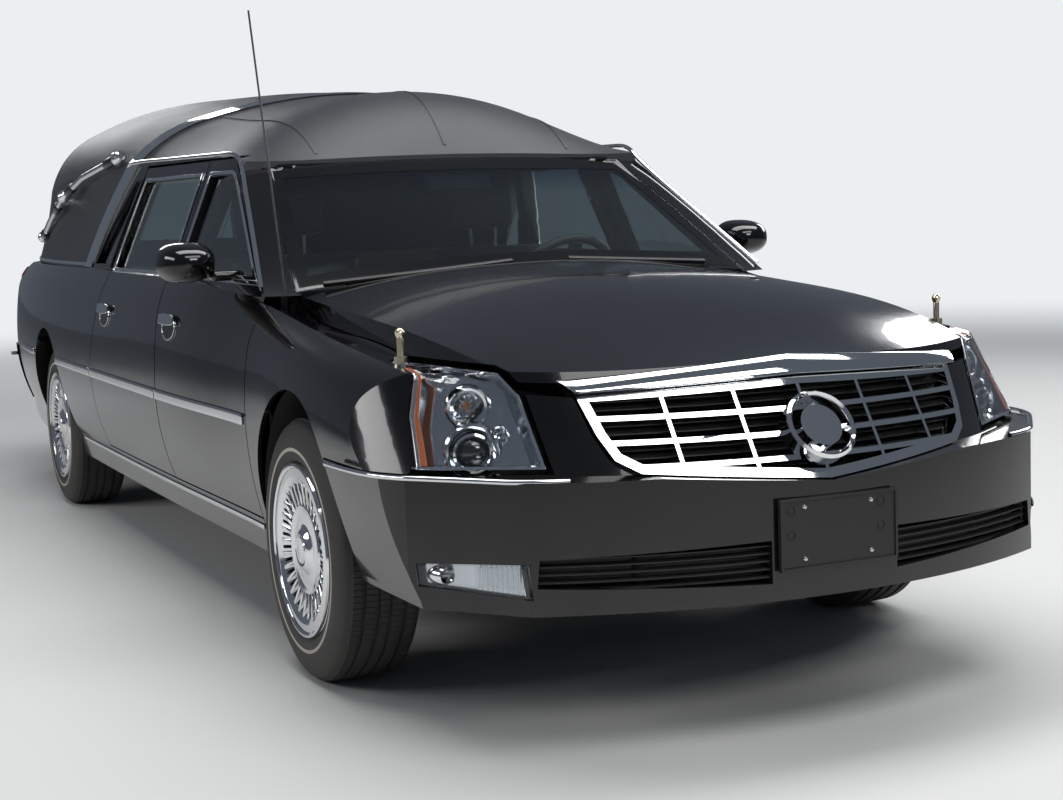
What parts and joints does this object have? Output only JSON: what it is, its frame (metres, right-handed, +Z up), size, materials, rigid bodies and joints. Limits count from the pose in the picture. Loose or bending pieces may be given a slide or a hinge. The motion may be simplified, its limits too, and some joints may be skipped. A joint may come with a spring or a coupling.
{
  "type": "hearse",
  "caption": "Long coachbuilt hearse with a padded roof, landau bars, raked glass, side doors, a rear loading door, an opening hood and steered wheels.",
  "frame": {"origin": "on the ground, at the middle of the overall length and width", "axes": "+X to the car's left, -Y towards the front, +Z up"},
  "size_m": [2.104, 6.3283, 1.8329],
  "materials": {
    "body_paint": "gloss",
    "vinyl": "satin",
    "chrome": "polished",
    "wheel_chrome": "polished",
    "window_glass": "gloss",
    "lens": "gloss",
    "red_lens": "gloss",
    "black_plastic": "matte",
    "interior_plastic": "matte",
    "seat_leather": "satin",
    "deck_wood": "satin",
    "brass": "satin",
    "frame_paint": "satin",
    "cast_metal": "matte",
    "engine_metal": "matte",
    "tank_plastic": "matte",
    "exhaust_steel": "satin",
    "tyre": "matte"
  },
  "bodies": {
    "body": {"underbody": "frame_paint", "roof": "vinyl", "roof_band": "chrome", "front_bumper": "body_paint", "grille": "chrome", "headlamps": "lens", "fog_lamps": "lens", "plate_bracket": "black_plastic", "windshield": "window_glass", "cowl": "black_plastic", "rear_bumper": "body_paint", "tail_lamps": "red_lens", "front_suspension": "cast_metal", "rear_suspension": "cast_metal", "engine": "engine_metal", "fuel_tank": "tank_plastic", "exhaust": "exhaust_steel", "dashboard": "interior_plastic", "front_seats": "seat_leather", "casket_deck": "deck_wood", "landau_bars": "chrome", "fittings": "brass", "side_frame_left": "body_paint", "side_frame_right": "body_paint", "fender_left": "body_paint", "fender_right": "body_paint", "quarter_glass_left": "window_glass", "quarter_glass_right": "window_glass"},
    "hood": {"hood": "body_paint"},
    "loading_door": {"loading_door": "vinyl", "loading_glass": "window_glass"},
    "steering_wheel": {"steering_wheel": "interior_plastic"},
    "front_door_left": {"front_door_left": "body_paint", "front_glass_left": "window_glass", "mirror_left": "black_plastic"},
    "rear_door_left": {"rear_door_left": "body_paint", "rear_glass_left": "window_glass"},
    "knuckle_left": {"knuckle_left": "cast_metal"},
    "front_wheel_left": {"tyre_front_left": "tyre", "wheel_front_left": "wheel_chrome"},
    "rear_wheel_left": {"tyre_rear_left": "tyre", "wheel_rear_left": "wheel_chrome"},
    "front_door_right": {"front_door_right": "body_paint", "front_glass_right": "window_glass", "mirror_right": "black_plastic"},
    "rear_door_right": {"rear_door_right": "body_paint", "rear_glass_right": "window_glass"},
    "knuckle_right": {"knuckle_right": "cast_metal"},
    "front_wheel_right": {"tyre_front_right": "tyre", "wheel_front_right": "wheel_chrome"},
    "rear_wheel_right": {"tyre_rear_right": "tyre", "wheel_rear_right": "wheel_chrome"}
  },
  "joints": [
    {"name": "hood_hinge", "type": "hinge", "parent": "body", "child": "hood", "pos_m": [0, -1.55, 1.075], "axis": [-1, 0, 0], "range_deg": [0, 45]},
    {"name": "loading_door_hinge", "type": "hinge", "parent": "body", "child": "loading_door", "pos_m": [0.575, 3.055, 1], "axis": [0, 0, -1], "range_deg": [0, 90]},
    {"name": "steer_right", "type": "hinge", "parent": "body", "child": "knuckle_right", "pos_m": [-0.722, -1.99, 0.176], "axis": [0.1779, 0, 0.9841], "range_deg": [-33, 33]},
    {"name": "steer_left", "type": "hinge", "parent": "body", "child": "knuckle_left", "pos_m": [0.722, -1.99, 0.176], "axis": [-0.1779, 0, 0.9841], "range_deg": [-33, 33]},
    {"name": "steering_wheel_turn", "type": "hinge", "parent": "body", "child": "steering_wheel", "pos_m": [0.372, -1.124, 0.89], "axis": [0, 0.9135, 0.4067], "range_deg": [-495, 495]},
    {"name": "front_door_left_hinge", "type": "hinge", "parent": "body", "child": "front_door_left", "pos_m": [0.885, -1.495, 0.665], "axis": [0.0523, 0, -0.9986], "range_deg": [0, 65]},
    {"name": "rear_door_left_hinge", "type": "hinge", "parent": "body", "child": "rear_door_left", "pos_m": [0.922, -0.51, 0.665], "axis": [0.0523, 0, -0.9986], "range_deg": [0, 70]},
    {"name": "front_door_right_hinge", "type": "hinge", "parent": "body", "child": "front_door_right", "pos_m": [-0.885, -1.495, 0.665], "axis": [0.0523, 0, 0.9986], "range_deg": [0, 65]},
    {"name": "rear_door_right_hinge", "type": "hinge", "parent": "body", "child": "rear_door_right", "pos_m": [-0.922, -0.51, 0.665], "axis": [0.0523, 0, 0.9986], "range_deg": [0, 70]},
    {"name": "front_wheel_left_spin", "type": "hinge", "parent": "knuckle_left", "child": "front_wheel_left", "pos_m": [0.795, -1.99, 0.35], "axis": [1, 0, 0], "continuous": true},
    {"name": "front_wheel_right_spin", "type": "hinge", "parent": "knuckle_right", "child": "front_wheel_right", "pos_m": [-0.795, -1.99, 0.35], "axis": [1, 0, 0], "continuous": true},
    {"name": "rear_wheel_left_spin", "type": "hinge", "parent": "body", "child": "rear_wheel_left", "pos_m": [0.795, 1.49, 0.35], "axis": [1, 0, 0], "continuous": true},
    {"name": "rear_wheel_right_spin", "type": "hinge", "parent": "body", "child": "rear_wheel_right", "pos_m": [-0.795, 1.49, 0.35], "axis": [1, 0, 0], "continuous": true}
  ],
  "couplings": [
    {"joint": "steer_left", "follows": "steer_right", "ratio": 1},
    {"joint": "steering_wheel_turn", "follows": "steer_right", "ratio": 15}
  ]
}
